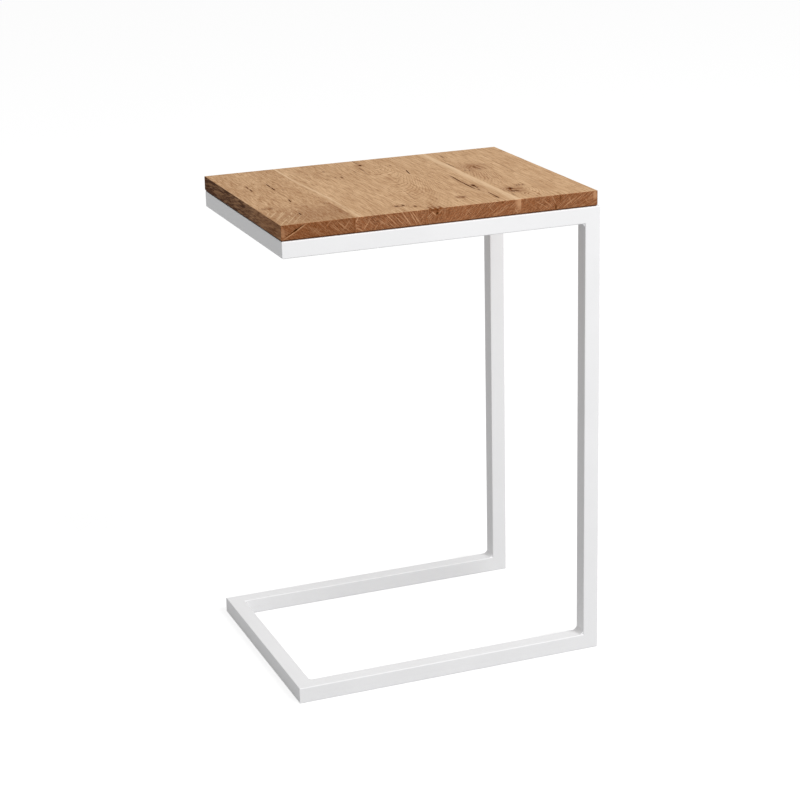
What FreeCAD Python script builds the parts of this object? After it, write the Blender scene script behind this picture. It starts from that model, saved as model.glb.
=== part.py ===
import FreeCAD, Part
import math
import os

from FreeCAD import Vector

# C-shaped side table: an oak top of three glued boards on a closed loop of mitred square steel tube.
# Lengths are in millimetres. The origin is on the floor under the middle of the frame,
# +X runs towards the two uprights, -Y is the front and +Z is up.

# Overall sizes, over the frame and up to the face of the top
table_length = 400.0
table_depth = 300.0
table_height = 592.0

# Square tube of the frame
tube_side = 20.0
tube_wall = 1.5
tube_corner_radius = 1.2
tube_bore_radius = 0.5

# Weld fillets in the inner corners of the frame
upper_weld_leg = 3.5
lower_weld_leg = 4.8
weld_face_share = 0.4

# Oak top: flush with the frame at the rear, a little proud of it on the left, set back on the right and at the front
top_thickness = 19.0
top_left_overhang = 0.7
top_right_setback = 3.5
top_front_setback = 0.5
left_board_width = 90.0
right_board_width = 100.0
top_edge_round = 0.8
top_lower_chamfer = 2.0

# Flat lugs inside the front and rear top rails, which carry the screws
lug_length = 40.0
lug_width = 25.0
lug_thickness = 3.0
lug_corner_radius = 6.0
lug_drop = 1.0
lug_end_distance = 60.0
lug_slot_travel = 6.0
lug_weld_leg = 3.0

# Pan-head wood screws and their washers
screw_diameter = 4.5
screw_core_diameter = 3.0
screw_pitch = 2.0
screw_tip_length = 4.5
screw_clearance = 0.6
thread_base_share = 0.6
wood_over_screw = 5.2
head_diameter = 9.0
head_height = 3.2
head_rim_height = 1.3
recess_length = 5.0
recess_width = 1.1
recess_depth = 1.8
washer_diameter = 12.0
washer_thickness = 1.2

# Places that follow from the sizes above
right_end = table_length / 2
rear_face = table_depth / 2
top_underside = table_height - top_thickness
tube_half = tube_side / 2
tube_flat = tube_side - 2 * tube_corner_radius
lug_underside = top_underside - lug_drop - lug_thickness
screw_seat = lug_underside - washer_thickness
screw_length = table_height - wood_over_screw - screw_seat
screw_inset = (lug_weld_leg + lug_width) / 2
lug_reach = right_end - lug_end_distance
lug_place_table = [
    ("left", -lug_reach, lug_slot_travel),
    ("middle", 0, 0),
    ("right", lug_reach, lug_slot_travel),
]
rail_sides = [("front", -rear_face + tube_side, 0), ("rear", rear_face - tube_side, 180)]

origin = Vector(0, 0, 0)
up = Vector(0, 0, 1)
parts = {}


def rounded_square(side, radius):
    """Square outline with arcs at its corners, centred on the origin."""
    half = side / 2 - radius
    corners = [Vector(-half, -half, 0), Vector(half, -half, 0), Vector(half, half, 0), Vector(-half, half, 0)]
    return Part.makePolygon(corners + corners[:1]).makeOffset2D(radius)


def mitre_block(corner, outward):
    """Block that stands on the mitre plane through a corner and fills the side to be cut away."""
    reach = 4 * tube_side
    block = Part.makeBox(reach, reach, reach, Vector(-reach / 2, -reach / 2, 0))
    block.Placement = FreeCAD.Placement(corner, FreeCAD.Rotation(up, outward))
    return block


def mitred_tube(start, end, before, after):
    """Hollow tube between two corners, mitred to the tubes that run in before it and out after it."""
    along = (end - start).normalize()
    outer = rounded_square(tube_side, tube_corner_radius)
    bore = rounded_square(tube_side - 2 * tube_wall, tube_bore_radius)
    section = Part.makeFace([outer, bore], "Part::FaceMakerBullseye")
    tube = section.extrude(up * (start.distanceToPoint(end) + 2 * tube_side))
    tube.Placement = FreeCAD.Placement(start - along * tube_side, FreeCAD.Rotation(up, along))
    return tube.cut([mitre_block(start, -(before + along)), mitre_block(end, along + after)])


def weld_fillet(corner, one_face, other_face, leg, length):
    """Slightly hollow weld fillet in an inner corner, with its length centred on that point."""
    axis = one_face.cross(other_face)
    root = corner - axis * (length / 2)
    one_toe = root + one_face * leg
    other_toe = root + other_face * leg
    middle = root + (one_face + other_face) * (leg * weld_face_share)
    outline = [
        Part.LineSegment(root, one_toe).toShape(),
        Part.Arc(one_toe, middle, other_toe).toShape(),
        Part.LineSegment(other_toe, root).toShape(),
    ]
    return Part.Face(Part.Wire(outline)).extrude(axis * length)


def make_frame():
    """Eight tubes in one closed loop, each from its own corner to the next, and a weld in each corner."""
    left = -right_end + tube_half
    right = right_end - tube_half
    front = -rear_face + tube_half
    rear = rear_face - tube_half
    lower = tube_half
    upper = top_underside - tube_half
    loop = [
        ("top_front_rail", "upper_front_left_weld", upper_weld_leg, Vector(left, front, upper)),
        ("front_upright", "upper_front_right_weld", upper_weld_leg, Vector(right, front, upper)),
        ("base_front_rail", "lower_front_right_weld", lower_weld_leg, Vector(right, front, lower)),
        ("base_left_rail", "lower_front_left_weld", lower_weld_leg, Vector(left, front, lower)),
        ("base_rear_rail", "lower_rear_left_weld", lower_weld_leg, Vector(left, rear, lower)),
        ("rear_upright", "lower_rear_right_weld", lower_weld_leg, Vector(right, rear, lower)),
        ("top_rear_rail", "upper_rear_right_weld", upper_weld_leg, Vector(right, rear, upper)),
        ("top_left_rail", "upper_rear_left_weld", upper_weld_leg, Vector(left, rear, upper)),
    ]
    corners = [corner for tube, weld, leg, corner in loop]
    count = len(corners)
    ways = [(corners[(i + 1) % count] - corners[i]).normalize() for i in range(count)]
    for i, (tube, weld, leg, corner) in enumerate(loop):
        before = ways[i - 1]
        after = ways[(i + 1) % count]
        parts[tube] = mitred_tube(corner, corners[(i + 1) % count], before, after)
        inner_corner = corner + (ways[i] - before) * tube_half
        parts[weld] = weld_fillet(inner_corner, ways[i], -before, leg, tube_flat)


def screw_hole(travel, height):
    """Upright cutter for a screw's clearance hole, drawn out into a slot along the table where it has travel."""
    radius = (screw_diameter + screw_clearance) / 2
    ends = [Part.makeCylinder(radius, height, Vector(x, 0, 0)) for x in (-travel / 2, travel / 2)]
    if travel == 0:
        return ends[0]
    middle = Part.makeBox(travel, 2 * radius, height, Vector(-travel / 2, -radius, 0))
    return middle.fuse(ends)


def fixing_lug(travel):
    """Lug on a rail face at Y zero, reaching along +Y with its two free corners rounded."""
    plate = Part.makeBox(lug_length, lug_width, lug_thickness, Vector(-lug_length / 2, 0, 0))
    free_corners = [
        edge for edge in plate.Edges
        if edge.BoundBox.YMin > lug_width / 2 and edge.BoundBox.XLength < lug_thickness / 2
        and edge.BoundBox.ZLength > lug_thickness / 2
    ]
    plate = plate.makeFillet(lug_corner_radius, free_corners)
    hole = screw_hole(travel, lug_thickness)
    hole.translate(Vector(0, screw_inset, 0))
    return plate.cut(hole)


def lug_weld():
    """Weld fillet under a lug, along the rail face at Y zero."""
    return weld_fillet(origin, Vector(0, 1, 0), -up, lug_weld_leg, lug_length)


def washer():
    """Flat washer standing on its seat."""
    return Part.makeCylinder(washer_diameter / 2, washer_thickness).cut(screw_hole(0, washer_thickness))


def fixing_screw():
    """Screw with its head below Z zero, its ringed thread and point above, and a cross recess in the head."""
    core = screw_core_diameter / 2
    crest = screw_diameter / 2
    head = head_diameter / 2
    dome_height = head_height - head_rim_height
    dome_radius = (head ** 2 + dome_height ** 2) / (2 * dome_height)
    halfway_drop = dome_radius - math.sqrt(dome_radius ** 2 - (head / 2) ** 2)
    thread_length = screw_length - screw_tip_length
    thread_base = screw_pitch * thread_base_share
    rings = int(thread_length / screw_pitch)
    outline = [Vector(0, 0, -head_height), Vector(0, 0, screw_length), Vector(core, 0, thread_length)]
    for ring in range(rings):
        ring_end = thread_length - ring * screw_pitch
        outline.append(Vector(crest, 0, ring_end - thread_base / 2))
        outline.append(Vector(core, 0, ring_end - thread_base))
        if ring < rings - 1:
            outline.append(Vector(core, 0, ring_end - screw_pitch))
    outline += [Vector(core, 0, 0), Vector(head, 0, 0), Vector(head, 0, -head_rim_height)]
    halfway = Vector(head / 2, 0, halfway_drop - head_height)
    dome = Part.Arc(outline[-1], halfway, outline[0]).toShape()
    section = Part.Face(Part.Wire(Part.makePolygon(outline).Edges + [dome]))
    screw = section.revolve(origin, up, 360)
    for length, width in ((recess_length, recess_width), (recess_width, recess_length)):
        slot = Part.makeBox(length, width, recess_depth, Vector(-length / 2, -width / 2, -head_height))
        screw = screw.cut(slot)
    return screw


def make_fixings():
    """Six lugs, three on each rail, with their welds, screws and washers."""
    groups = {"lug_welds": [], "fixing_screws": [], "screw_washers": []}
    for side, face, turn in rail_sides:
        for place, x, travel in lug_place_table:
            inward = FreeCAD.Rotation(up, turn)
            foot = Vector(x, face, lug_underside)
            seat = foot + inward.multVec(Vector(0, screw_inset, -washer_thickness))
            lug = fixing_lug(travel)
            lug.Placement = FreeCAD.Placement(foot, inward)
            parts[f"{side}_{place}_lug"] = lug
            pieces = [
                ("lug_welds", lug_weld(), foot),
                ("screw_washers", washer(), seat),
                ("fixing_screws", fixing_screw(), seat),
            ]
            for group, piece, position in pieces:
                piece.Placement = FreeCAD.Placement(position, inward)
                groups[group].append(piece)
    for group, pieces in groups.items():
        parts[group] = Part.makeCompound(pieces)


def make_top():
    """Top with eased edges, parted at its two glue lines, with the screws' threads formed in its underside."""
    left = -right_end - top_left_overhang
    right = right_end - top_right_setback
    front = -rear_face + top_front_setback
    block = Part.makeBox(right - left, rear_face - front, top_thickness, Vector(left, front, top_underside))
    half_height = top_underside + top_thickness / 2
    eased = [edge for edge in block.Edges if edge.BoundBox.ZMax > half_height]
    lower = [edge for edge in block.Edges if edge.BoundBox.ZMax < half_height]
    top = block.makeFillet(top_edge_round, eased).common(block.makeChamfer(top_lower_chamfer, lower))
    top = top.cut(parts["fixing_screws"].Solids)
    left_seam = left + left_board_width
    right_seam = right - right_board_width
    boards = [
        ("oak_left_board", left, left_seam),
        ("oak_middle_board", left_seam, right_seam),
        ("oak_right_board", right_seam, right),
    ]
    for board, start, end in boards:
        stretch = Part.makeBox(end - start, table_depth, top_thickness, Vector(start, -rear_face, top_underside))
        parts[board] = top.common(stretch)


make_frame()
make_fixings()
make_top()
os.makedirs("parts", exist_ok=True)
for node, shape in parts.items():
    shape.exportStep(f"parts/{node}.step")
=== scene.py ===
import math
from collections import namedtuple
from functools import reduce

import bmesh
import bpy
from bpy.props import FloatProperty, FloatVectorProperty
from bpy.types import Operator, Panel, PropertyGroup
from mathutils import Matrix, Vector


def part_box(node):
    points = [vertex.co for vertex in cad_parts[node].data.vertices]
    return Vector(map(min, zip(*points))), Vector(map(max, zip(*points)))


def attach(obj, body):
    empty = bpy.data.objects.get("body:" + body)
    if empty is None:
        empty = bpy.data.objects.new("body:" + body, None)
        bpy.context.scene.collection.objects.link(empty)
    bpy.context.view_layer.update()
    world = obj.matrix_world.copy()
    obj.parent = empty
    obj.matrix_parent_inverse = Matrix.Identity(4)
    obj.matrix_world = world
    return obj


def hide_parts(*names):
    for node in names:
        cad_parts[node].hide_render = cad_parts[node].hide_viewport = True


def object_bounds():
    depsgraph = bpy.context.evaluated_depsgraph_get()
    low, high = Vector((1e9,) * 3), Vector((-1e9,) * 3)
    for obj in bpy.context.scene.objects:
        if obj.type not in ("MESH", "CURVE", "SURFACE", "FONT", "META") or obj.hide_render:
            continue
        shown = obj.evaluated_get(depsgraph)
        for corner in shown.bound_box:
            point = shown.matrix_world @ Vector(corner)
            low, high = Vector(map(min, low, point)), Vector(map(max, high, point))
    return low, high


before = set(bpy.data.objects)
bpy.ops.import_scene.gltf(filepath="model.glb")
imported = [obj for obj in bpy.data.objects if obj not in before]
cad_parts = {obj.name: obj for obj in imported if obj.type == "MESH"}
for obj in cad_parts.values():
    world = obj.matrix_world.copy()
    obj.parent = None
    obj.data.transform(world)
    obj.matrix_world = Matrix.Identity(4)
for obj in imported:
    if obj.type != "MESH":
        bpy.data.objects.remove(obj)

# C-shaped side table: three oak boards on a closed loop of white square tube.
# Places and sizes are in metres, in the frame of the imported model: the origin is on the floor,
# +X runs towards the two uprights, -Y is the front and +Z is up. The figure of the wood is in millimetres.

bl_info = {
    "name": "C-shaped Side Table",
    "version": (1, 0, 0),
    "blender": (4, 5, 0),
    "location": "3D View > Sidebar > Side Table",
    "description": "Models and finishes an oak side table on a white tube frame",
    "category": "Add Mesh",
}

MM = 0.001
CAD_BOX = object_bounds()

BOARDS = ("oak_left_board", "oak_middle_board", "oak_right_board")
TUBES = (
    "top_front_rail", "front_upright", "base_front_rail", "base_left_rail",
    "base_rear_rail", "rear_upright", "top_rear_rail", "top_left_rail",
)
WELDS = (
    "upper_front_left_weld", "upper_front_right_weld", "lower_front_right_weld", "lower_front_left_weld",
    "lower_rear_left_weld", "lower_rear_right_weld", "upper_rear_right_weld", "upper_rear_left_weld",
)
LUGS = tuple(f"{side}_{place}_lug" for side in ("front", "rear") for place in ("left", "middle", "right"))

# Figure of the wood, in millimetres. A knot swells the rings, turns the fibres aside and stains the wood.
# A mark is a small dark spot. Knots and marks that don't run through the board lie about a level and are
# only so deep. A check is an open crack in the upper face, from one point to another, and a split is one in
# the front end. A ray is a pale line in the end grain, and a fleck is one on the upper face. A patch is a
# part of the upper face where rings show. Sapwood lies about a line at one distance from its glue line at
# the rear and at another at the front.
# The pith is the log's middle beside the origin. For each millimetre towards the rear it moves right by lean
# and up by climb, and the rings grow by arch. The tone lightens a board, stroke and short are the contrast
# and the shortness of its strokes, and ripple is how far the rings show in its stains.
THROUGH = 400
ENDLESS = THROUGH * THROUGH
Knot = namedtuple("Knot", "x y across along push lift stain level deep", defaults=(582, THROUGH))
Mark = namedtuple("Mark", "x y across along depth slant level deep", defaults=(0.12, 582, THROUGH))
Check = namedtuple("Check", "x y end_x end_y width depth")
Split = namedtuple("Split", "x z end_x end_z width depth")
Ray = namedtuple("Ray", "x z end_x end_z strength width", defaults=(1.2,))
Fleck = namedtuple("Fleck", "x y end_x end_y strength width", defaults=(1.9,))
Patch = namedtuple("Patch", "x y across along strength")
Sapwood = namedtuple("Sapwood", "glue_line rear front spread strength")
Figure = namedtuple("Figure", (
    "pith", "lean", "climb", "arch", "tone", "stroke", "short", "ripple", "seed", "knots", "marks",
    "checks", "rays", "splits", "flecks", "sapwood", "ring_patches"), defaults=((),) * 4)

FIGURES = {
    "oak_left_board": Figure(
        pith=(-40, 500), lean=0, climb=0, arch=0.05, tone=-0.05,
        stroke=2.2, short=2.4, ripple=0.06, seed=11,
        knots=(
            Knot(-187, -63, 12, 8, 0.3, 5, 0.6), Knot(-172, -72, 10, 10, 0, 0, 0.35),
            Knot(-144, -70, 6, 10, 0.2, 3, 0.45), Knot(-110, -110, 14, 52, 0, 0, 0.75),
            Knot(-160, -118, 62, 50, 0, 0, 0.56), Knot(-165, -95, 34, 30, 0.2, 6, 0),
        ),
        marks=(
            Mark(-173.5, 59, 0.8, 8, 0.7), Mark(-174, 43, 0.9, 5, 0.6), Mark(-148, 5, 0.5, 18, 0.25, 0),
            Mark(-161.5, -103, 1, 7, 0.5), Mark(-183, -61, 2.4, 2.5, 0.4), Mark(-191, -63, 3.5, 1.5, 0.3),
            Mark(-166, -22, 0.7, 6, 0.25), Mark(-118, -65, 0.9, 5, 0.35), Mark(-137, 30, 0.6, 8, 0.2),
        ),
        checks=(
            Check(-146.2, 69, -146.7, 48, 1.4, 2), Check(-146.8, 46, -147.2, 30, 1.6, 2),
            Check(-173.2, 50, -174.2, 36, 1.2, 1.6), Check(-148.8, -25, -151, -41, 1.4, 1.8),
            Check(-161, -97, -161.8, -109, 1.6, 1.8),
        ),
        splits=(Split(-196, 577.2, -172.5, 590.8, 1.6, 1.9), Split(-186.5, 582.6, -180, 586.4, 2.5, 2.6)),
        rays=(
            Ray(-200, 574, -167, 592.5, 1, 2.6), Ray(-169, 590, -160, 578, 0.45),
            Ray(-199, 589, -197.5, 576, 0.5, 7), Ray(-153, 589, -143, 578, 0.3),
            Ray(-142.5, 589, -130, 576.5, 0.65, 1.3), Ray(-134.5, 592, -122, 578.5, 0.7, 1.3),
            Ray(-148, 584, -138, 593, 0.6, 1.3), Ray(-126, 578, -116.5, 591.5, 0.65, 1.3),
            Ray(-122, 577, -113, 589, 0.4), Ray(-164, 577, -154, 588, 0.3),
            Ray(-139, 588, -128.5, 577, 0.6), Ray(-131, 589, -120, 578, 0.6),
            Ray(-129, 576, -119.5, 587, 0.5), Ray(-167, 588, -152, 574.5, 0.5),
            Ray(-155, 591, -149, 584, 0.4), Ray(-160, 576, -150, 586, 0.4), Ray(-120, 590, -113, 582, 0.5),
            Ray(-188, 590, -181, 582, 0.3),
        ),
        flecks=(
            Fleck(-201, -132, -171, -82, 0.94, 2), Fleck(-194, -150, -162, -97, 0.94, 2),
            Fleck(-201, -111, -183, -81, 0.87, 2), Fleck(-201, -150, -178, -112, 0.94, 2),
            Fleck(-187, -151, -160, -106, 0.8), Fleck(-197, -122, -176, -87, 0.8),
            Fleck(-178, -151, -152, -108, 0.51), Fleck(-200, -97, -190, -78, 0.72),
            Fleck(-200, -122, -176, -95, 0.72), Fleck(-198, -141, -172, -112, 0.72),
            Fleck(-188, -150, -164, -123, 0.65), Fleck(-200, -104, -184, -86, 0.72),
            Fleck(-192, -128, -172, -100, 0.65), Fleck(-168, -150, -152, -128, 0.43),
            Fleck(-185.6, -100, -175.6, -84, 1, 2.2), Fleck(-179.2, -117, -174.4, -105.5, 1, 2.2),
            Fleck(-172.8, -104.5, -167.4, -90.5, 1, 2.2), Fleck(-159.6, -85, -154.6, -74, 0.58),
            Fleck(-167.2, -84, -162.6, -72.5, 0.58),
        ),
    ),
    "oak_middle_board": Figure(
        pith=(-3, 552), lean=0.1, climb=0.15, arch=0, tone=0.03,
        stroke=2, short=1.4, ripple=0.25, seed=23,
        sapwood=(Sapwood(-110.7, 0.5, 6.5, 2, 0.72), Sapwood(96.5, 2.5, 4, 6.2, 0.7)),
        knots=(
            Knot(6, 58, 14, 14, 0.3, 2, 0), Knot(-4, 119, 5, 7, 0.5, 3, 0.45),
            Knot(-44, -118, 11, 6, 0.4, 4, 0.6), Knot(-29, -129, 6, 5, 0.4, 3, 0.4),
            Knot(-11, -150, 9, 6, 0.5, 6, 0.3, 588, 8), Knot(-17.4, -146, 2.3, 8, 0, 0, 1.2, 592.5, 2),
            Knot(-11.6, -145, 2.6, 9, 0, 0, 1.4, 592.5, 2), Knot(-5, -146, 2.3, 9, 0, 0, 1.4, 592.5, 2),
            Knot(-11, -140, 9, 14, 0, 0, 0.3, 592.5, 3), Knot(39, -108, 8, 7, 0.4, 4, 0.75),
            Knot(71, -35, 3.2, 42, 0, 0, 0.5), Knot(75, -74, 7, 20, 0.4, 3, 0.4),
            Knot(76.5, -115, 2.4, 20, 0, 0, 0.4), Knot(36, 55, 7, 16, 0.5, 3, 0),
            Knot(-59, 104, 4, 7, 0.3, 2, 0.35), Knot(-84, 99, 6, 6, 0.3, 2, 0.25),
            Knot(2, 28, 9, 8, 0.2, 3, 0.15),
        ),
        marks=(
            Mark(-4, 119, 2, 4, 0.8), Mark(-4, 136, 0.7, 14, 0.5, 0), Mark(-11.5, 92, 0.8, 14, 0.5, 0.08),
            Mark(-14.3, 68, 0.6, 10, 0.35, 0.08), Mark(-24, 85, 0.7, 7, 0.35), Mark(-57, 65, 0.9, 4, 0.4),
            Mark(-49.5, 62, 1.1, 4.5, 0.75), Mark(30, 101, 0.9, 4, 0.4), Mark(-59, 104, 1.5, 4, 0.35),
            Mark(-48, -118, 2.4, 2.8, 0.8), Mark(-39.5, -117, 1.7, 3.6, 0.8), Mark(-43, -121, 3, 1.6, 0.4),
            Mark(-28.5, -128, 1.5, 3.4, 0.8), Mark(-34, -130, 0.9, 3, 0.35), Mark(-13, -75, 0.6, 14, 0.3),
            Mark(40, -108, 2.8, 3, 0.6), Mark(34, -107, 0.9, 4, 0.5), Mark(73, -80, 1.4, 4, 0.5),
            Mark(-10.1, -151, 1.5, 5, 0.9, 0, 586.2, 1.4), Mark(-9.7, -151, 1, 4, 0.6, 0, 589.7, 1.3),
            Mark(-16.5, -151, 1.2, 4, 0.5, 0, 590.3, 1.8), Mark(72.5, -151, 1, 4, 0.6, 0, 590.5, 1),
        ),
        checks=(
            Check(-3.5, 123, -4.4, 115, 2.6, 2.2), Check(37.3, 66, 33.2, 43, 1.5, 2),
            Check(73, 8, 71.2, -32, 1.5, 2.2), Check(71.2, -26, 70.2, -76, 1.6, 2.4),
            Check(76.6, -50, 75.8, -61, 4.2, 4), Check(76, -58, 76, -70, 1.6, 2),
            Check(77, -97, 76.3, -122, 1.2, 1.8), Check(76.3, -118, 75.8, -133, 1.7, 2),
        ),
        splits=(Split(-11.2, 585.9, -9.2, 586.6, 1.3, 1.6),),
        rays=(
            Ray(-106.5, 592.5, -111.4, 584.5, 0.8, 1.7), Ray(-111.4, 586, -110.4, 579.5, 0.7, 1.7),
            Ray(-111, 580.8, -102, 575, 0.6, 1.5), Ray(-102, 575, -92.5, 588, 0.65, 1.3),
            Ray(-88.5, 575, -82.5, 582, 0.6, 1.3), Ray(-83, 587, -69, 576.5, 0.6, 1.3),
            Ray(-75, 593, -58, 575.5, 0.85, 1.5), Ray(-63, 589, -51, 576, 0.65, 1.3),
            Ray(-57, 589, -46, 576, 0.5), Ray(-54.5, 593, -42, 574.5, 0.9, 1.7),
            Ray(-45, 593, -34.5, 574.5, 0.9, 1.5), Ray(-42.5, 593, -30.5, 575, 0.9, 1.5),
            Ray(-97, 590, -86, 578, 0.4), Ray(-82, 579, -76, 585, 0.35),
            Ray(-17.8, 590, -10.8, 582.8, 1, 2.1), Ray(-3.8, 590, -8.7, 584.8, 0.7, 2),
            Ray(-23, 581.5, -15.8, 588, 0.65, 1.4), Ray(-21.8, 580, -14.5, 586.5, 0.65, 1.4),
            Ray(-19.5, 579.4, -13.5, 584.3, 0.45, 1.3), Ray(-32, 580, -24, 588.5, 0.45, 1.3),
            Ray(54, 588.5, 62, 580, 0.4), Ray(88, 582, 92.5, 575.5, 0.7, 1.3), Ray(24, 590, 34, 579, 0.3),
            Ray(70, 577, 78, 588, 0.35),
        ),
        ring_patches=(Patch(22, -8, 42, 62, 0.8), Patch(4, 62, 22, 28, 1.4), Patch(-14, -55, 14, 45, 0.5)),
    ),
    "oak_right_board": Figure(
        pith=(75, 530), lean=-0.08, climb=0, arch=-0.18, tone=0.07,
        stroke=1.8, short=1.2, ripple=0.25, seed=37,
        knots=(
            Knot(119, 43, 18, 20, 0.5, 8, 0.7), Knot(132, 52, 9, 10, 0.2, 3, 0.45),
            Knot(109, -98, 13, 18, 0.5, 8, 0.9), Knot(127, -78, 7, 6, 0.4, 3, 0.45),
            Knot(116, -128, 14, 18, 0.3, 7, 0.15), Knot(104, 28, 6, 7, 0.4, 3, 0.4),
            Knot(98, 68, 2.5, 20, 0, 0, 0.2), Knot(109, 0, 20, 50, 0, 0, 0.28),
            Knot(165, -150, 7, 6, 0, 0, 0.35, 588, 4), Knot(181, -150, 5, 6, 0, 0, 0.4, 578, 4),
            Knot(110, -150, 13, 6, 0, 0, 0.3, 583, 7),
        ),
        marks=(
            Mark(109.5, 121, 1, 8, 0.6), Mark(104, 103, 0.8, 6, 0.25), Mark(121, 44, 1.4, 6, 0.45),
            Mark(122, 30, 2, 5, 0.3), Mark(102.5, 30, 0.9, 4, 0.5, 0.3), Mark(106.5, 25, 1.1, 4, 0.5, 0.3),
            Mark(109, -91, 3.2, 4.2, 0.95), Mark(107, -106, 4.6, 3.4, 0.8), Mark(112, -107, 1.4, 4, 0.6),
            Mark(102.5, -102, 0.9, 5, 0.5, 0.3), Mark(123, -79, 1, 4, 0.4, 0.3),
            Mark(127, -77, 1.1, 4.5, 0.5, 0.3), Mark(131, -79, 1, 4, 0.5, 0.3),
            Mark(152.5, -32, 0.45, 110, 0.25, 0.051), Mark(99, -122, 1, 8, 0.4),
            Mark(157, 40, 0.4, 40, 0.15, 0.03), Mark(141.5, -151, 0.9, 5, 0.8, 0, 578, 3),
            Mark(147.5, -151, 0.9, 5, 0.4, 0, 588, 4),
        ),
        checks=(Check(98.6, 84, 98.2, 50, 1, 1.4), Check(109.4, -87, 108.2, -95, 3.4, 2.2)),
        rays=(
            Ray(149, 575, 172.5, 590, 0.85, 1.3), Ray(164, 580.5, 178.5, 590, 0.65),
            Ray(113, 588.5, 129.5, 579, 0.6), Ray(124, 589, 138, 577.5, 0.6),
            Ray(136, 592, 143.5, 578, 0.6), Ray(126, 580.5, 133, 576, 0.5), Ray(104, 588, 118, 577, 0.4),
            Ray(157, 592, 163, 578, 0.45), Ray(179, 585, 185, 577, 0.5, 1.3),
            Ray(184, 583.5, 190, 589.5, 0.6, 1.3), Ray(192.5, 593, 193.5, 581, 0.7, 7),
            Ray(118, 578, 127, 584.5, 0.35, 1.1),
        ),
        ring_patches=(Patch(116, 0, 22, 42, 1.3), Patch(119, -122, 20, 26, 1.3)),
    ),
}


def srgb(red, green, blue):
    """Linear colour from the 0 to 255 values of a screen."""
    shares = [value / 255 for value in (red, green, blue)]
    return tuple(s / 12.92 if s <= 0.04045 else ((s + 0.055) / 1.055) ** 2.4 for s in shares)


class OakProperties(PropertyGroup):
    """Shape and colours of the oak top"""
    edge_round: FloatProperty(
        name="Edge Round", description="Radius of the eased upper edges", default=0.0008, unit="LENGTH")
    lower_chamfer: FloatProperty(
        name="Lower Chamfer", description="Chamfer along the lower edges", default=0.0020, unit="LENGTH")
    screw_hole: FloatProperty(
        name="Screw Hole", description="Diameter of the holes for the screws", default=0.0046, unit="LENGTH")
    ring_spacing: FloatProperty(
        name="Ring Spacing", description="Distance from one growth ring to the next",
        default=0.0017, unit="LENGTH")
    stroke_contrast: FloatProperty(
        name="Strokes", description="Contrast of the fine strokes along the grain", default=1.0)
    ring_contrast: FloatProperty(
        name="Rings", description="Strength of the ring lines on the faces", default=0.55, subtype="FACTOR")
    pore_contrast: FloatProperty(
        name="Pore Depth", description="Strength of the open pores", default=0.65, subtype="FACTOR")
    pale_colour: FloatVectorProperty(
        name="Pale Grain", description="Colour of the palest grain",
        subtype="COLOR", default=srgb(218, 181, 141))
    face_colour: FloatVectorProperty(
        name="Dark Grain", description="Colour of the darker grain",
        subtype="COLOR", default=srgb(166, 123, 85))
    pore_colour: FloatVectorProperty(
        name="Pores", description="Colour of the open pores", subtype="COLOR", default=srgb(132, 87, 51))
    sap_colour: FloatVectorProperty(
        name="Sapwood", description="Colour of the sapwood", subtype="COLOR", default=srgb(228, 195, 157))
    fleck_colour: FloatVectorProperty(
        name="Flecks", description="Colour of the rays on the face",
        subtype="COLOR", default=srgb(234, 201, 160))
    end_colour: FloatVectorProperty(
        name="End Grain", description="Colour of the end grain", subtype="COLOR", default=srgb(143, 90, 56))
    ray_colour: FloatVectorProperty(
        name="Rays", description="Colour of the rays in the end grain",
        subtype="COLOR", default=srgb(198, 150, 112))
    side_colour: FloatVectorProperty(
        name="Long Edges", description="Dark grain of the long edges",
        subtype="COLOR", default=srgb(84, 50, 26))
    side_pale_colour: FloatVectorProperty(
        name="Pale Edges", description="Pale grain of the long edges",
        subtype="COLOR", default=srgb(186, 141, 104))
    # Colour of knot wood, also used as dirt and painted shade in cracks, holes and the lower chamfer
    knot_dirt_and_shade_colour: FloatVectorProperty(
        name="Knots", description="Colour of knot wood", subtype="COLOR", default=srgb(118, 62, 14))
    # Colour of dark mark cores, also used as dirt and painted shade deep in cracks and holes and as painted
    # shade on the lower chamfer
    dark_mark_and_shade_colour: FloatVectorProperty(
        name="Cracks", description="Colour inside cracks and pits", subtype="COLOR", default=srgb(76, 40, 8))
    roughness: FloatProperty(
        name="Roughness", description="Roughness between the pores", default=0.66, subtype="FACTOR")
    sheen: FloatProperty(
        name="Sheen", description="Level of the oil's reflection", default=0.03, subtype="FACTOR")
    pore_relief: FloatProperty(
        name="Pore Relief", description="Height of the grain's relief", default=0.00012, unit="LENGTH")


class CoatProperties(PropertyGroup):
    """Tube section and white coat of the frame"""
    corner_radius: FloatProperty(
        name="Corner Radius", description="Outer radius of the tube's corners", default=0.0012, unit="LENGTH")
    wall: FloatProperty(
        name="Wall", description="Wall thickness of the tube", default=0.0015, unit="LENGTH")
    colour: FloatVectorProperty(
        name="Coat", description="Colour of the coat", subtype="COLOR", default=srgb(240, 240, 241))
    roughness: FloatProperty(
        name="Roughness", description="Roughness of the coat", default=0.48, subtype="FACTOR")
    peel_height: FloatProperty(
        name="Peel Height", description="Height of the coat's fine ripple", default=0.00004, unit="LENGTH")


class ZincProperties(PropertyGroup):
    """Finish of the screws and washers"""
    colour: FloatVectorProperty(
        name="Zinc", description="Colour of the zinc plate", subtype="COLOR", default=srgb(196, 199, 203))
    roughness: FloatProperty(
        name="Roughness", description="Roughness of the zinc plate", default=0.32, subtype="FACTOR")
    grit_height: FloatProperty(
        name="Grit Height", description="Height of the plate's grit", default=0.00002, unit="LENGTH")


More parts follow.
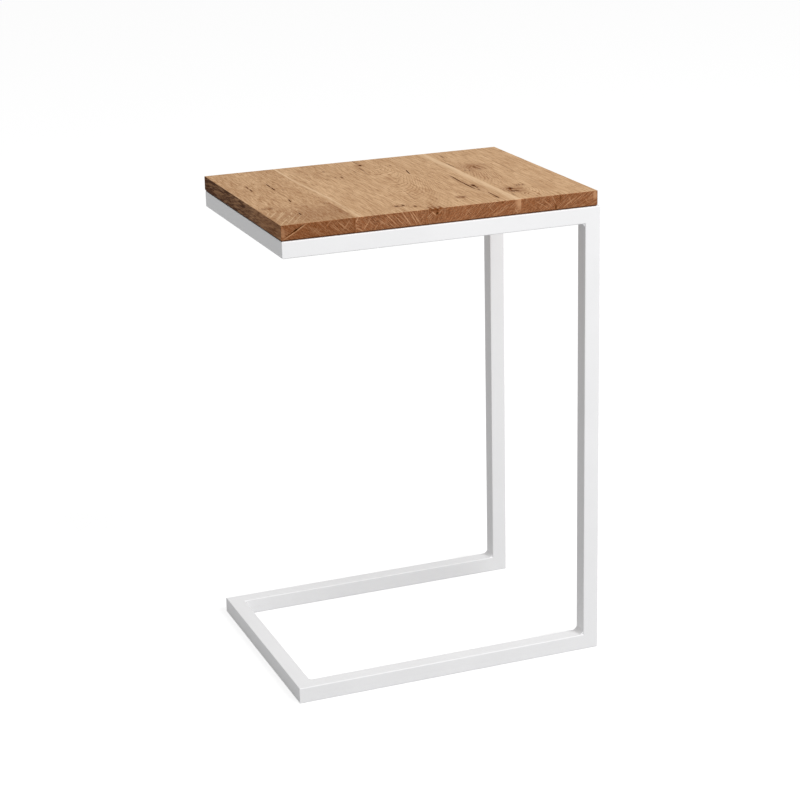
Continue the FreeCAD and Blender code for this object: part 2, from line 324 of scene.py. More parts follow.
class StageProperties(PropertyGroup):
    """Floor, light and camera"""
    floor_size: FloatProperty(
        name="Floor Size", description="Side of the floor", default=14.0, unit="LENGTH")
    floor_gap: FloatProperty(
        name="Floor Gap", description="Gap between the floor and the frame", default=0.0001, unit="LENGTH")
    floor_colour: FloatVectorProperty(
        name="Floor", description="Colour of the floor", subtype="COLOR", default=(0.42, 0.42, 0.42))
    floor_glow: FloatProperty(
        name="Floor Glow", description="Glow that makes the floor look white", default=0.74)
    sky_level: FloatProperty(name="Sky Level", description="Light that comes from all around", default=0.52)
    key_power: FloatProperty(
        name="Key Power", description="Power of the main lamp", default=140.0, unit="POWER")
    key_place: FloatVectorProperty(
        name="Key Place", description="Place of the main lamp", subtype="XYZ", default=(1.5, -3.0, 3.2))
    key_size: FloatProperty(
        name="Key Size", description="Side of the main lamp", default=2.2, unit="LENGTH")
    camera_place: FloatVectorProperty(
        name="Camera Place", description="Place of the camera",
        subtype="XYZ", default=(-0.9087, -2.3257, 1.1314))
    camera_yaw: FloatProperty(
        name="Yaw", description="Turn of the camera to the right",
        subtype="ANGLE", default=math.radians(20.713))
    camera_pitch: FloatProperty(
        name="Pitch", description="Tilt of the camera downwards",
        subtype="ANGLE", default=math.radians(17.435))
    camera_roll: FloatProperty(
        name="Roll", description="Roll of the camera", subtype="ANGLE", default=math.radians(-1.477))
    focal_share: FloatProperty(
        name="Focal Share", description="Focal length as a share of the picture's width", default=2.6087)
    lens_shift: FloatVectorProperty(
        name="Lens Shift", description="Shift of the picture, as shares of its width",
        size=2, default=(0.025, -0.03125))


class Field:
    """A node socket that works in Python expressions: each operator on values adds a Math node."""

    def __init__(self, tree, socket):
        self.tree = tree
        self.socket = socket

    def node(self, kind, settings=None, sockets=None, output=0):
        """Adds a node, with its settings first and then its sockets' values or links."""
        made = self.tree.nodes.new(kind)
        for name, setting in (settings or {}).items():
            setattr(made, name, setting)
        for key, value in (sockets or {}).items():
            if isinstance(value, Field):
                self.tree.links.new(value.socket, made.inputs[key])
            else:
                made.inputs[key].default_value = value
        return Field(self.tree, made.outputs[output])

    def math(self, operation, *values):
        return self.node("ShaderNodeMath", {"operation": operation}, dict(enumerate(values)))

    def __add__(self, other):
        return self.math("ADD", self, other)

    def __sub__(self, other):
        return self.math("SUBTRACT", self, other)

    def __rsub__(self, other):
        return self.math("SUBTRACT", other, self)

    def __mul__(self, other):
        return self.math("MULTIPLY", self, other)

    def __truediv__(self, other):
        return self.math("DIVIDE", self, other)

    def __rtruediv__(self, other):
        return self.math("DIVIDE", other, self)

    def __abs__(self):
        return self.math("ABSOLUTE", self)

    __radd__ = __add__
    __rmul__ = __mul__

    def clamped(self):
        return self.node("ShaderNodeClamp", {}, {0: self})

    def larger(self, other):
        return self.math("MAXIMUM", self, other)

    def smaller(self, other):
        return self.math("MINIMUM", self, other)

    def rise(self, low, high, top=1.0):
        """Smooth step from 0 at low to the top at high, or down where low is above high."""
        sockets = {0: self, 1: low, 2: high, 4: top}
        return self.node("ShaderNodeMapRange", {"interpolation_type": "SMOOTHSTEP"}, sockets)

    def part(self, index):
        """One component of a vector."""
        return self.node("ShaderNodeSeparateXYZ", {}, {0: self}, index)

    def scaled(self, x, y, z):
        """Vector with each component multiplied by its own number."""
        return self.node("ShaderNodeVectorMath", {"operation": "MULTIPLY"}, {0: self, 1: (x, y, z)})

    def joined(self, y, z):
        """Vector of this value and two others."""
        return self.node("ShaderNodeCombineXYZ", {}, {0: self, 1: y, 2: z})

    def noise(self, detail, roughness):
        """Soft noise from 0 to 1 with features about one unit wide."""
        sockets = {"Vector": self, "Scale": 1.0, "Detail": detail, "Roughness": roughness}
        return self.node("ShaderNodeTexNoise", {}, sockets)

    def tint(self, one, other):
        """Colour between two colours, by this value."""
        sockets = {0: self}
        for index, colour in ((6, one), (7, other)):
            sockets[index] = colour if isinstance(colour, Field) else (*colour, 1.0)
        return self.node("ShaderNodeMix", {"data_type": "RGBA"}, sockets, 2)


def start_material(name):
    """New material with its shader, its Object coordinates in millimetres and its surface normal."""
    material = bpy.data.materials.new(name)
    material.use_nodes = True
    tree = material.node_tree
    shader = tree.nodes["Principled BSDF"]
    source = tree.nodes.new("ShaderNodeTexCoord")
    metres = Field(tree, source.outputs["Object"])
    point = metres.scaled(1 / MM, 1 / MM, 1 / MM)
    return material, shader, point, Field(tree, source.outputs["Normal"])


def link(field, shader, socket):
    """Feeds a shader's socket."""
    field.tree.links.new(field.socket, shader.inputs[socket])


def add_bump(height, distance, shader):
    """Raises the surface by a height field times a distance in metres."""
    bump = height.node("ShaderNodeBump", {}, {"Strength": 1.0, "Distance": distance, "Height": height})
    link(bump, shader, "Normal")


Log = namedtuple("Log", "x y z wavy along radius ring flat_sawn arc stain core ragged")
Grain = namedtuple("Grain", "across length detail roughness")

# Noise, in waves to the millimetre across the grain and along it
RAGGED = Grain(0.35, 0.16, 3, 0.6)
WANDER = Grain(0.02, 0.008, 3, 0.55)
BROAD = Grain(0.03, 0.008, 2, 0.5)
STREAK = Grain(0.22, 0.012, 2, 0.5)
STROKE = Grain(0.75, 0.022, 2, 0.6)
DASH = Grain(0.95, 0.035, 1, 0.5)
SPECK = Grain(0.62, 0.3, 2, 0.7)
COAT_CLOUD = Grain(0.012, 0.012, 3, 0.55)
COAT_PEEL = Grain(0.75, 0.75, 2, 0.5)
COAT_GRIT = Grain(3, 3, 1, 0.5)
ZINC_CLOUD = Grain(0.8, 0.8, 3, 0.6)
ZINC_GRIT = Grain(4, 4, 2, 0.5)
SEED_STEP = 37

# How far the spots of the figure reach, in times their size, and how near their middle they fade in
KNOT_REACH = 1.7
MARK_REACH = 2.6
PATCH_REACH = 1.5
LINE_REACH = 1.2
MARK_FADE = (0, 0.77)
CORE_FADE = (0.46, 0.81)
PATCH_FADE = (0, 0.87)
LINE_FADE = (0, 0.67)

# Half a pale line as a share of its width, the stain around a mark as a share of its depth,
# and the mark beside a crack
LINE_SHARE = 0.45
STAIN_SHARE = 0.8
BESIDE_SHARE = 0.6
BESIDE_DEPTH = 0.4

# In millimetres: how far the edges of spots and the rings wander, and the least radius that spaces the rays
RAGGED_EDGE = (1.2, 2.4, 1.2)
RING_WANDER = 9
RING_RAGGED = 1.4
LEAST_SPREAD = 75

# Lightness of faces, long edges and ends, from the dark colour at 0 to the pale one at 1, and how far
# the normal turns for an edge or an end
FACE_LIGHT = 0.58
EDGE_LIGHT = 0.33
END_LIGHT = 0.66
FACING = (0.5, 0.75)

# In millimetres: depths at which cracks and holes turn brown, then dark, as dirt and painted shade, and
# heights over which the chamfer over the frame gets painted shade
CRACK_DIRT_AND_SHADE = (0.25, 0.8)
CRACK_DEEP_DIRT_AND_SHADE = (1.2, 2.6)
CHAMFER_PAINTED_SHADE = (2.4, 1.4)


def largest(fields):
    """Largest of several fields at each point, each taken in as it is made, so that few are held at once."""
    return reduce(Field.larger, fields)


def shaded(colour, share):
    """Colour made darker, or lighter where the share is above 1."""
    return tuple(min(1.0, value * share) for value in colour)


def grain_noise(place, grain, short=1.0):
    """Noise about zero, drawn out along the grain."""
    waves = place.scaled(grain.across, grain.length * short, grain.across)
    return waves.noise(grain.detail, grain.roughness) - 0.5


def ray_noise(log, across, outward):
    """Noise of the end grain, drawn out from the pith, in waves to the millimetre."""
    return (log.arc * across).joined(log.radius * outward, log.y * 0.01).noise(1, 0.5)


def nearness(point, middle, size, reach, turn=(0, 0, 0)):
    """1 at the middle of a turned spot, falling evenly to 0 at so many times its size."""
    inside = point.node("ShaderNodeMapping", {"vector_type": "TEXTURE"}, {
        "Vector": point, "Location": middle, "Rotation": turn, "Scale": [side * reach for side in size]})
    return inside.node("ShaderNodeTexGradient", {"gradient_type": "SPHERICAL"}, {"Vector": inside}, 1)


def mark_beside(check):
    """Dark wood along a crack."""
    middle_x = (check.x + check.end_x) / 2
    middle_y = (check.y + check.end_y) / 2
    ahead = check.end_y - check.y
    slant = (check.end_x - check.x) / ahead
    return Mark(middle_x, middle_y, check.width * BESIDE_SHARE, abs(ahead) / 2, BESIDE_DEPTH, slant)


def read_log(point, figure, oak, middle):
    """Where each point lies in the log that a board was sawn from, and what stains it there."""
    x, y, z = (point.part(index) for index in range(3))
    ragged = grain_noise(point, RAGGED)
    wavy = point.node(
        "ShaderNodeVectorMath", {"operation": "MULTIPLY_ADD"}, {0: ragged, 1: RAGGED_EDGE, 2: point})
    fibre = x
    swell = 0.0
    stain = 0.0
    core = 0.0
    for knot in figure.knots:
        near = nearness(wavy, (knot.x, knot.y, knot.level), (knot.across, knot.along, knot.deep), KNOT_REACH)
        if knot.push:
            fibre = fibre - near.rise(0, 1, knot.push) * (x - knot.x)
        if knot.lift:
            swell = near.rise(0, 1, knot.lift) + swell
        if knot.stain:
            stain = near.rise(0, 1, knot.stain).larger(stain)
    for mark in figure.marks + tuple(mark_beside(check) for check in figure.checks):
        turn = (0, 0, -math.atan(mark.slant))
        size = (mark.across, mark.along, mark.deep)
        near = nearness(wavy, (mark.x, mark.y, mark.level), size, MARK_REACH, turn)
        stain = near.rise(*MARK_FADE, mark.depth * STAIN_SHARE).larger(stain)
        core = near.rise(*CORE_FADE, mark.depth).larger(core)
    offset = figure.seed * SEED_STEP
    place = fibre.joined(y, z)
    along = place.node("ShaderNodeVectorMath", {"operation": "ADD"}, {0: place, 1: (offset, offset, offset)})
    wander = grain_noise(along, WANDER)
    dx = fibre - figure.pith[0] - y * figure.lean
    dz = z - figure.pith[1] - y * figure.climb
    distance = dx.math("SQRT", dx * dx + dz * dz)
    radius = distance + y * figure.arch + swell + wander * RING_WANDER + ragged * RING_RAGGED
    ring = radius.math("FRACT", radius / (oak.ring_spacing / MM))
    flat_sawn = abs(dx / radius).rise(0.75, 0.40)
    spread = max(math.hypot(middle.x - figure.pith[0], middle.z - figure.pith[1]), LEAST_SPREAD)
    arc = dx.math("ARCTAN2", dx, dz) * spread
    return Log(x, y, z, wavy, along, radius, ring, flat_sawn, arc, stain, core, ragged)


def patch_share(log, patch):
    """How far a point lies within a patch of the upper face."""
    size = (patch.across, patch.along, ENDLESS)
    return nearness(log.wavy, (patch.x, patch.y, 0), size, PATCH_REACH).rise(*PATCH_FADE, patch.strength)


def line_share(log, line):
    """How far a point lies on a ray of the end grain or a fleck of the upper face."""
    x, start, end_x, end, strength, width = line
    middle_x = (x + end_x) / 2
    middle = (start + end) / 2
    length = math.hypot(end_x - x, end - start) / 2
    angle = math.atan2(end - start, end_x - x)
    if isinstance(line, Ray):
        spot = (middle_x, 0, middle), (length, ENDLESS, width * LINE_SHARE), LINE_REACH, (0, -angle, 0)
    else:
        spot = (middle_x, middle, 0), (length, width * LINE_SHARE, ENDLESS), LINE_REACH, (0, 0, angle)
    return nearness(log.wavy, *spot).rise(*LINE_FADE, strength)


def sapwood_share(log, sap, inward):
    """How much of the wood is sapwood."""
    line = log.y.rise(80, -40, sap.front - sap.rear) + sap.rear
    depth = (log.x - sap.glue_line) * inward + log.ragged * 3
    return abs(depth - line).rise(sap.spread * 1.7, 0.0, sap.strength)


def oak_material(name, figure, oak):
    """Oak sawn from a solid log: rings about a pith, strokes, pores, rays, sapwood, knots and stains, with
    dirt and painted shade in cracks and holes and painted shade along the lower chamfer.
    """
    material, shader, point, normal = start_material(name)
    low, high = (corner / MM for corner in corners_of(name))
    log = read_log(point, figure, oak, (low + high) / 2)
    x, y, z = log.x, log.y, log.z
    end_face = abs(normal.part(1)).rise(*FACING)
    long_edge = abs(normal.part(0)).rise(*FACING)

    # Grain that the three kinds of face share
    broad = grain_noise(log.along, BROAD)
    streak = grain_noise(log.along, STREAK)
    stroke = grain_noise(log.along, STROKE, figure.short)
    dash = grain_noise(log.along, DASH, figure.short)
    early = log.ring.rise(0.0, 0.12) * log.ring.rise(0.7, 0.2)
    pores = dash.rise(0.04, 0.16) * (early * 0.5 + 0.5)

    # Upper and lower face
    ring_line = 0.25 - log.ring.rise(0.0, 0.15) * log.ring.rise(0.45, 0.15)
    bold = log.flat_sawn * oak.ring_contrast * 0.25
    if figure.ring_patches:
        patches = largest(patch_share(log, patch) for patch in figure.ring_patches)
        bold = bold + patches * oak.ring_contrast
    lines = (streak * 0.5 + stroke * figure.stroke) * oak.stroke_contrast
    light = FACE_LIGHT + figure.tone + broad * 0.5 + lines + ring_line * bold
    face = light.clamped().tint(oak.face_colour, oak.pale_colour)
    face = (pores * oak.pore_contrast).tint(face, oak.pore_colour)
    if figure.flecks:
        face = largest(line_share(log, fleck) for fleck in figure.flecks).tint(face, oak.fleck_colour)

    # Long edges, where the fibres run out on a slope
    edge_streak = (z * 0.3 + y * 0.06).joined(y * 0.03, x * 0.09).noise(3, 0.6) - 0.5
    edge_light = EDGE_LIGHT + edge_streak * 2.4 + broad * 0.8 + stroke * 1.8 - y * 0.0021
    edge = edge_light.clamped().tint(oak.side_colour, oak.side_pale_colour)

    # End grain with pale rays across its rings
    rays = ray_noise(log, 1.2, 0.07).rise(0.57, 0.66)
    fine_rays = ray_noise(log, 1.4, 0.18).rise(0.50, 0.62)
    speck = grain_noise(point, SPECK)
    end_light = END_LIGHT + figure.tone + broad * 0.9 - early * (0.9 + log.ragged * 2.0)
    end_light = end_light + log.ragged * 0.9 + speck * 3.0
    end = end_light.clamped().tint(shaded(oak.end_colour, 0.55), shaded(oak.end_colour, 1.36))
    end = (fine_rays * 0.30).tint(end, oak.ray_colour)
    end = (rays * 0.30).tint(end, oak.ray_colour)
    end = largest(line_share(log, ray) for ray in figure.rays).tint(end, oak.ray_colour)

    # Pale sapwood beside a glue line
    for sap in figure.sapwood:
        inward = 1 if sap.glue_line < (low.x + high.x) / 2 else -1
        share = sapwood_share(log, sap, inward)
        face = (share * (streak * 1.6 + 1)).clamped().tint(face, oak.sap_colour)
        if inward < 0:
            end_sap = (high.x - x + log.ragged * 3).rise(10, 2, 0.85) * (z - low.z).rise(1, 14)
            end = end_sap.tint(end, oak.ray_colour)

    colour = end_face.tint(long_edge.tint(face, edge), end)
    ripple = log.radius.math("SINE", log.radius * 2.2) * figure.ripple + 0.75
    colour = (log.stain * ripple).clamped().tint(colour, oak.knot_dirt_and_shade_colour)
    colour = log.core.clamped().tint(colour, oak.dark_mark_and_shade_colour)

    # Painted shade: cracks and holes turn brown and then dark with depth, as dirt and painted shade, and the
    # chamfer over the frame is darkened as a painted shadow line
    inside = reduce(Field.smaller, (x - low.x, high.x - x, y - low.y, high.y - y, z - low.z, high.z - z))
    # Dirt and painted shade: brown a little under the surface, in cracks, holes and the lower chamfer
    hollow = inside.rise(*CRACK_DIRT_AND_SHADE)
    colour = hollow.tint(colour, oak.knot_dirt_and_shade_colour)
    # Dirt and painted shade: dark deep in cracks and holes
    colour = inside.rise(*CRACK_DEEP_DIRT_AND_SHADE).tint(colour, oak.dark_mark_and_shade_colour)
    # Painted shade: a dark shadow line along the chamfer over the frame
    colour = ((z - low.z).rise(*CHAMFER_PAINTED_SHADE) * hollow).tint(colour, oak.dark_mark_and_shade_colour)

    link(colour, shader, "Base Color")
    shader.inputs["Specular IOR Level"].default_value = oak.sheen
    link(oak.roughness + pores * 0.2 - light * 0.05, shader, "Roughness")
    add_bump(0.7 - pores * 0.5 + stroke * 0.4, oak.pore_relief, shader)
    return material


def white_coat_material(name, coat):
    """Satin white powder coat with a fine ripple."""
    material, shader, point, _ = start_material(name)
    cloud = grain_noise(point, COAT_CLOUD)
    peel = grain_noise(point, COAT_PEEL)
    grit = grain_noise(point, COAT_GRIT)
    shade = cloud.rise(-0.2, 0.2)
    link(shade.tint(shaded(coat.colour, 0.975), coat.colour), shader, "Base Color")
    link(coat.roughness + cloud * 0.10 + grit * 0.06, shader, "Roughness")
    add_bump(peel * 0.8 + grit * 0.2, coat.peel_height, shader)
    return material


def zinc_material(name, zinc):
    """Bright zinc plate with a cloudy spangle."""
    material, shader, point, _ = start_material(name)
    cloud = grain_noise(point, ZINC_CLOUD)
    grit = grain_noise(point, ZINC_GRIT)
    link((cloud + 0.5).tint(shaded(zinc.colour, 0.82), zinc.colour), shader, "Base Color")
    shader.inputs["Metallic"].default_value = 1.0
    link(zinc.roughness + cloud * 0.2 + grit * 0.1, shader, "Roughness")
    add_bump(grit, zinc.grit_height, shader)
    return material


def corners_of(node):
    """Lowest and highest corner of a node's box."""
    return [Vector(corner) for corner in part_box(node)]


def deselect():
    """Leaves edit mode and selects nothing."""
    if bpy.context.mode != "OBJECT":
        bpy.ops.object.mode_set(mode="OBJECT")
    bpy.ops.object.select_all(action="DESELECT")


def settle(name):
    """Puts the active object's place, turn and size into its mesh and names it."""
    bpy.ops.object.transform_apply(location=True, rotation=True, scale=True)
    piece = bpy.context.object
    piece.name = name
    piece.data.name = name
    return piece


def new_block(name, low, high):
    """Block between two corners."""
    deselect()
    bpy.ops.mesh.primitive_cube_add(size=1, location=(low + high) / 2, scale=high - low)
    return settle(name)


def activate(piece):
    """Selects one object alone."""
    deselect()
    piece.select_set(True)
    bpy.context.view_layer.objects.active = piece


def edit(piece):
    """Opens one object in edit mode."""
    activate(piece)
    bpy.ops.object.mode_set(mode="EDIT")


def pick_edges(test):
    """In edit mode, selects only the edges that pass the test."""
    bpy.ops.mesh.select_mode(type="EDGE")
    bpy.ops.mesh.select_all(action="DESELECT")
    data = bpy.context.edit_object.data
    mesh = bmesh.from_edit_mesh(data)
    chosen = [edge for edge in mesh.edges if test(edge)]
    if not chosen:
        raise RuntimeError(f"no edges to select on {bpy.context.edit_object.name}")
    for edge in chosen:
        edge.select_set(True)
    mesh.select_flush_mode()
    bmesh.update_edit_mesh(data)


def edge_middle(edge):
    """Middle of an edge."""
    return (edge.verts[0].co + edge.verts[1].co) / 2


def copy_piece(source, name):
    """Copy of an object with a mesh of its own."""
    activate(source)
    bpy.ops.object.duplicate(linked=False)
    piece = bpy.context.object
    piece.name = name
    piece.data.name = name
    return piece


def discard(piece):
    """Deletes a working object."""
    activate(piece)
    bpy.ops.object.delete()


def cut_away(piece, cutter):
    """Cuts one object out of another and deletes the cutter."""
    activate(piece)
    modifier = piece.modifiers.new("cut", "BOOLEAN")
    modifier.operation = "DIFFERENCE"
    modifier.solver = "EXACT"
    modifier.object = cutter
    bpy.ops.object.modifier_apply(modifier=modifier.name)
    discard(cutter)


def smooth_finish(piece, angle):
    """Smooths round stretches up to an angle and keeps flat faces flat."""
    activate(piece)
    bpy.ops.object.shade_smooth_by_angle(angle=angle)
    modifier = piece.modifiers.new("flat faces", "WEIGHTED_NORMAL")
    modifier.keep_sharp = True
    bpy.ops.object.modifier_apply(modifier=modifier.name)
    deselect()


def hand_over(piece, node, material):
    """Gives a finished piece its material and puts it in the place of its node."""
    piece.data.materials.clear()
    piece.data.materials.append(material)
    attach(piece, "root")
    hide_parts(node)


class SIDETABLE_OT_oak_boards(Operator):
    """Models the three boards of the top, with their cracks and screw holes"""
    bl_idname = "side_table.oak_boards"
    bl_label = "Oak Boards"
    smooth_angle = math.radians(32)

    def execute(self, context):
        oak = context.scene.side_table_oak
        boxes = [corners_of(node) for node in BOARDS]
        low = boxes[0][0]
        high = boxes[-1][1]
        slab = self.slab(low, high, oak)
        check_tool = self.check_cutter()
        hole_tool = self.hole_cutter(oak)
        for node, (board_low, board_high) in zip(BOARDS, boxes):
            board = copy_piece(slab, f"{node}_wood")
            edit(board)
            if board_low.x > low.x:
                self.part_at(board_low.x, -1)
            if board_high.x < high.x:
                self.part_at(board_high.x, 1)
            deselect()
            self.cut_checks(board, FIGURES[node], check_tool, board_low, board_high)
            self.cut_holes(board, board_low, board_high, hole_tool)
            smooth_finish(board, self.smooth_angle)
            hand_over(board, node, oak_material(node, FIGURES[node], oak))
        for tool in (slab, check_tool, hole_tool):
            discard(tool)
        return {"FINISHED"}

    def slab(self, low, high, oak):
        """Whole top with eased upper and upright edges and a chamfer along its lower edges."""
        slab = new_block("slab", low, high)
        middle = (low.z + high.z) / 2
        edit(slab)
        pick_edges(lambda edge: edge_middle(edge).z > middle - MM)
        bpy.ops.mesh.bevel(offset=oak.edge_round, segments=4, affect="EDGES")
        pick_edges(lambda edge: max(v.co.z for v in edge.verts) < low.z + MM / 10)
        bpy.ops.mesh.bevel(offset=oak.lower_chamfer, segments=1, affect="EDGES")
        deselect()
        return slab

    def part_at(self, place, side):
        """Cuts the board that is open in edit mode at a glue line and drops what lies on one side."""
        bpy.ops.mesh.select_all(action="SELECT")
        bpy.ops.mesh.bisect(
            plane_co=(place, 0, 0), plane_no=(side, 0, 0), use_fill=True, clear_outer=True)

    def check_cutter(self):
        """Pointed, slightly ragged spindle along Y, 1 m in radius, from which cracks are cut."""
        deselect()
        bpy.ops.mesh.primitive_uv_sphere_add(
            segments=12, ring_count=20, radius=1, rotation=(math.radians(90), 0, 0))
        spindle = settle("check_cutter")
        edit(spindle)
        bpy.ops.mesh.select_all(action="SELECT")
        bpy.ops.transform.vertex_random(offset=0.07, uniform=0.5, seed=3)
        deselect()
        return spindle

    def hole_cutter(self, oak):
        """Upright drill, 1 m long, standing on the origin."""
        deselect()
        bpy.ops.mesh.primitive_cylinder_add(
            vertices=24, radius=oak.screw_hole / 2, depth=1, location=(0, 0, 0.5))
        return settle("hole_cutter")

    def cut_checks(self, board, figure, tool, low, high):
        """Cuts the open cracks in the board's upper face and the splits in its front end."""
        for check in figure.checks:
            start = Vector((check.x * MM, check.y * MM, high.z))
            end = Vector((check.end_x * MM, check.end_y * MM, high.z))
            self.cut_crack(board, tool, start, end, Vector((0, 0, -1)), check)
        for split in figure.splits:
            start = Vector((split.x * MM, low.y, split.z * MM))
            end = Vector((split.end_x * MM, low.y, split.end_z * MM))
            self.cut_crack(board, tool, start, end, Vector((0, 1, 0)), split)

    def cut_crack(self, board, tool, start, end, inward, crack):
        """Cuts one crack along a line on a face."""
        way = (end - start).normalized()
        turn = Matrix((way.cross(inward), way, inward)).transposed().to_4x4()
        size = Matrix.Diagonal((crack.width / 2 * MM, (end - start).length / 2, crack.depth * MM, 1))
        cutter = copy_piece(tool, "cutter")
        cutter.matrix_world = Matrix.Translation((start + end) / 2) @ turn @ size
        settle("cutter")
        cut_away(board, cutter)

    def cut_holes(self, board, low, high, tool):
        """Drills the holes for the screws that reach into this board."""
        screw_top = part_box("fixing_screws")[1][2]
        washers_high = corners_of("screw_washers")[1]
        middles = [sum(corners_of(lug), Vector()) / 2 for lug in LUGS]
        washer_radius = washers_high.x - max(middle.x for middle in middles)
        screw_line = washers_high.y - washer_radius
        for middle in middles:
            if low.x < middle.x < high.x:
                cutter = copy_piece(tool, "cutter")
                cutter.location = (middle.x, math.copysign(screw_line, middle.y), low.z - MM)
                cutter.scale = (1, 1, screw_top - low.z + MM)
                settle("cutter")
                cut_away(board, cutter)


class SIDETABLE_OT_frame_tubes(Operator):
    """Models the eight mitred tubes of the frame"""
    bl_idname = "side_table.frame_tubes"
    bl_label = "Frame Tubes"
    smooth_angle = math.radians(35)

    def execute(self, context):
        coat = context.scene.side_table_coat
        material = white_coat_material("white_coat_tube", coat)
        corners, ways = frame_loop()
        count = len(TUBES)
        for i, node in enumerate(TUBES):
            tube = self.mitred_tube(
                node, corners[i], corners[(i + 1) % count], ways[i - 1], ways[(i + 1) % count], coat)
            hand_over(tube, node, material)
        return {"FINISHED"}

    def mitred_tube(self, node, start, end, before, after, coat):
        """Hollow tube between two corners, mitred to the tubes before and after it."""
        side = tube_side()
        along = (end - start).normalized()
        turn = along.to_track_quat("Z", "Y").to_euler()
        deselect()
        bpy.ops.mesh.primitive_plane_add(size=side, location=start - along * side, rotation=turn)
        tube = settle(f"{node}_tube")
        edit(tube)
        bpy.ops.mesh.select_all(action="SELECT")
        bpy.ops.mesh.bevel(offset=coat.corner_radius, segments=5, affect="VERTICES")
        bpy.ops.mesh.select_all(action="SELECT")
        bpy.ops.mesh.inset(thickness=coat.wall, depth=0)
        bpy.ops.mesh.delete(type="FACE")
        bpy.ops.mesh.select_all(action="SELECT")
        length = (end - start).length + 2 * side
        bpy.ops.mesh.extrude_region_move(TRANSFORM_OT_translate={"value": along * length})
        for corner, outward in ((start, -(before + along)), (end, along + after)):
            bpy.ops.mesh.select_all(action="SELECT")
            bpy.ops.mesh.bisect(plane_co=corner, plane_no=outward, use_fill=False, clear_outer=True)
            pick_edges(lambda edge: edge.is_boundary)
            bpy.ops.mesh.bridge_edge_loops()
        bpy.ops.mesh.select_all(action="SELECT")
        bpy.ops.mesh.normals_make_consistent(inside=False)
        deselect()
        smooth_finish(tube, self.smooth_angle)
        return tube


class SIDETABLE_OT_corner_welds(Operator):
    """Models the weld fillets in the eight inner corners of the frame"""
    bl_idname = "side_table.corner_welds"
    bl_label = "Corner Welds"
    smooth_angle = math.radians(40)
    bevel_share = 0.985
    hollow_profile = 0.18

    def execute(self, context):
        coat = context.scene.side_table_coat
        material = white_coat_material("white_coat_weld", coat)
        corners, ways = frame_loop()
        length = tube_side() - 2 * coat.corner_radius
        models = {}
        for i, node in enumerate(WELDS):
            low, high = corners_of(node)
            leg = min(high - low)
            level = node.split("_")[0]
            if level not in models:
                models[level] = self.fillet(leg, length)
            weld = copy_piece(models[level], f"{node}_bead")
            one_face = ways[i]
            other_face = -ways[i - 1]
            turn = Matrix((one_face, other_face, one_face.cross(other_face))).transposed().to_4x4()
            place = corners[i] + (ways[i] - ways[i - 1]) * (tube_side() / 2)
            weld.matrix_world = Matrix.Translation(place) @ turn
            settle(weld.name)
            hand_over(weld, node, material)
        for model in models.values():
            discard(model)
        return {"FINISHED"}

    def fillet(self, leg, length):
        """Slightly hollow fillet in the corner of the X and Y axes, centred along Z."""
        weld = new_block("fillet", Vector((0, 0, -length / 2)), Vector((leg, leg, length / 2)))
        edit(weld)
        pick_edges(lambda edge: min(edge_middle(edge).xy) > leg * 0.9)
        bpy.ops.mesh.bevel(
            offset=leg * self.bevel_share, segments=8, profile=self.hollow_profile, affect="EDGES")
        deselect()
        smooth_finish(weld, self.smooth_angle)
        return weld


class SIDETABLE_OT_fixings(Operator):
    """Finishes the lugs, their welds, the screws and the washers under the top"""
    bl_idname = "side_table.fixings"
    bl_label = "Fixings"

    def execute(self, context):
        coated = white_coat_material("white_coat_lug", context.scene.side_table_coat)
        plated = zinc_material("zinc_plate", context.scene.side_table_zinc)
        finishes = {node: coated for node in (*LUGS, "lug_welds")}
        finishes["fixing_screws"] = plated
        finishes["screw_washers"] = plated
        for node, material in finishes.items():
            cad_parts[node].material_slots[0].material = material
        return {"FINISHED"}


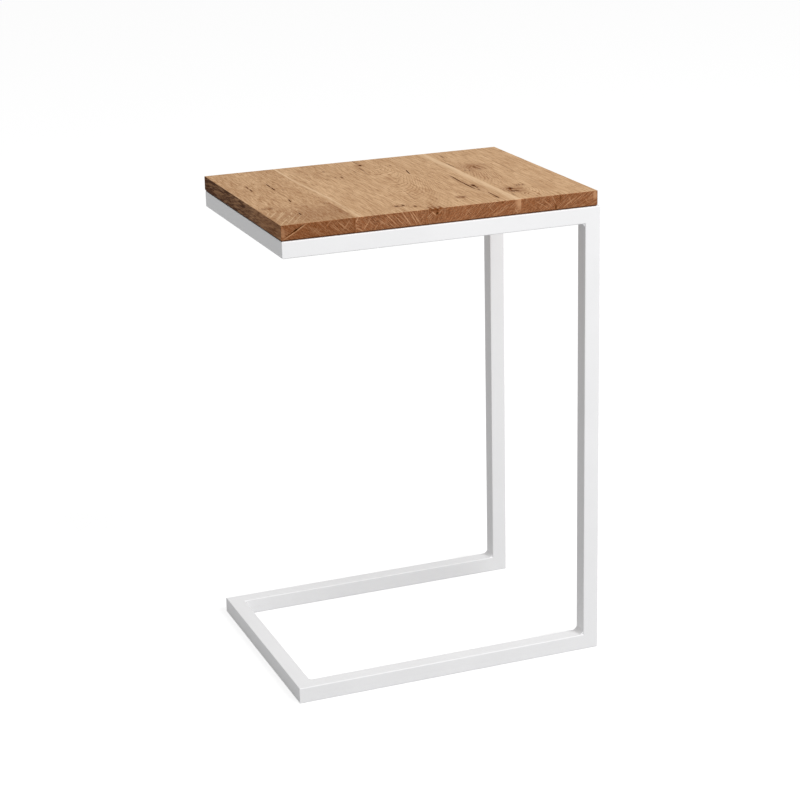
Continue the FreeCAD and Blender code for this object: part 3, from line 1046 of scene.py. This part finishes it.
class SIDETABLE_OT_stage(Operator):
    """Lays the floor, sets the light and places the camera"""
    bl_idname = "side_table.stage"
    bl_label = "Stage"

    def execute(self, context):
        stage = context.scene.side_table_stage
        self.lay_floor(stage)
        self.light_world(context.scene, stage)
        self.hang_lamp(stage)
        self.place_camera(context.scene, stage)
        context.scene.view_settings.view_transform = "Standard"
        return {"FINISHED"}

    def seen_directly(self, tree):
        """1 for rays from the camera and for what shows in metal or glass, and 0 for the rest."""
        path = tree.nodes.new("ShaderNodeLightPath")
        kinds = ("Camera", "Glossy", "Transmission")
        return largest(Field(tree, path.outputs[f"Is {kind} Ray"]) for kind in kinds)

    def lay_floor(self, stage):
        """Pale floor that looks white and keeps the table's shadow."""
        deselect()
        bpy.ops.mesh.primitive_plane_add(size=stage.floor_size, location=(0, 0, -stage.floor_gap))
        floor = settle("floor")
        material = bpy.data.materials.new("floor")
        material.use_nodes = True
        tree = material.node_tree
        tree.nodes.remove(tree.nodes["Principled BSDF"])
        seen = self.seen_directly(tree)
        paint = seen.node("ShaderNodeBsdfDiffuse", {}, {"Color": (*stage.floor_colour, 1.0)})
        glow = seen.node("ShaderNodeEmission", {}, {"Strength": seen * stage.floor_glow})
        both = seen.node("ShaderNodeAddShader", {}, {0: paint, 1: glow})
        tree.links.new(both.socket, tree.nodes["Material Output"].inputs["Surface"])
        floor.data.materials.append(material)

    def light_world(self, scene, stage):
        """Even light from all around, which looks white behind the table."""
        world = bpy.data.worlds.new("studio")
        world.use_nodes = True
        tree = world.node_tree
        seen = self.seen_directly(tree)
        level = seen * (1 - stage.sky_level) + stage.sky_level
        background = tree.nodes["Background"]
        background.inputs["Color"].default_value = (1.0, 1.0, 1.0, 1.0)
        link(level, background, "Strength")
        scene.world = world

    def hang_lamp(self, stage):
        """Large soft lamp, turned towards the middle of the table."""
        deselect()
        place = Vector(stage.key_place)
        aim = (Vector(CAD_BOX[0]) + Vector(CAD_BOX[1])) / 2 - place
        turn = aim.to_track_quat("-Z", "Y").to_euler()
        bpy.ops.object.light_add(type="AREA", location=place, rotation=turn)
        lamp = bpy.context.object
        lamp.name = "key_lamp"
        lamp.data.energy = stage.key_power
        lamp.data.size = stage.key_size

    def place_camera(self, scene, stage):
        """Camera at the photograph's place."""
        yaw = Matrix.Rotation(-stage.camera_yaw, 3, "Z")
        pitch = Matrix.Rotation(math.pi / 2 - stage.camera_pitch, 3, "X")
        roll = Matrix.Rotation(stage.camera_roll, 3, "Z")
        deselect()
        bpy.ops.object.camera_add(location=stage.camera_place, rotation=(yaw @ pitch @ roll).to_euler())
        camera = bpy.context.object
        camera.name = "camera"
        camera.data.sensor_width = 36.0
        camera.data.lens = stage.focal_share * camera.data.sensor_width
        camera.data.shift_x, camera.data.shift_y = stage.lens_shift
        scene.camera = camera


def tube_side():
    """Side of the square tube, from the height of a base rail."""
    low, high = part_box("base_left_rail")
    return high[2] - low[2]


def frame_loop():
    """Corners of the tubes' centre lines, in the order of the tubes, and the way from each to the next."""
    low, high = corners_of("base_front_rail")
    half = tube_side() / 2
    left = low.x + half
    right = high.x - half
    front = low.y + half
    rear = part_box("base_rear_rail")[1][1] - half
    lower = low.z + half
    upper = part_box("top_front_rail")[1][2] - half
    corners = [Vector(corner) for corner in (
        (left, front, upper), (right, front, upper), (right, front, lower), (left, front, lower),
        (left, rear, lower), (right, rear, lower), (right, rear, upper), (left, rear, upper))]
    ways = [(corners[(i + 1) % len(corners)] - corner).normalized() for i, corner in enumerate(corners)]
    return corners, ways


OPERATORS = (
    SIDETABLE_OT_oak_boards,
    SIDETABLE_OT_frame_tubes,
    SIDETABLE_OT_corner_welds,
    SIDETABLE_OT_fixings,
    SIDETABLE_OT_stage,
)


class SIDETABLE_PT_panel(Panel):
    """Lists the steps that make the table"""
    bl_idname = "SIDETABLE_PT_panel"
    bl_label = "Side Table"
    bl_space_type = "VIEW_3D"
    bl_region_type = "UI"
    bl_category = "Side Table"

    def draw(self, context):
        for operator in OPERATORS:
            self.layout.operator(operator.bl_idname)


GROUPS = {
    "side_table_oak": OakProperties,
    "side_table_coat": CoatProperties,
    "side_table_zinc": ZincProperties,
    "side_table_stage": StageProperties,
}
CLASSES = (*GROUPS.values(), *OPERATORS, SIDETABLE_PT_panel)


def register():
    for cls in CLASSES:
        bpy.utils.register_class(cls)
    for name, group in GROUPS.items():
        setattr(bpy.types.Scene, name, bpy.props.PointerProperty(type=group))


def unregister():
    for name in GROUPS:
        delattr(bpy.types.Scene, name)
    for cls in reversed(CLASSES):
        bpy.utils.unregister_class(cls)


def main():
    register()
    bpy.ops.side_table.oak_boards()
    bpy.ops.side_table.frame_tubes()
    bpy.ops.side_table.corner_welds()
    bpy.ops.side_table.fixings()
    bpy.ops.side_table.stage()


if __name__ == "__main__":
    main()
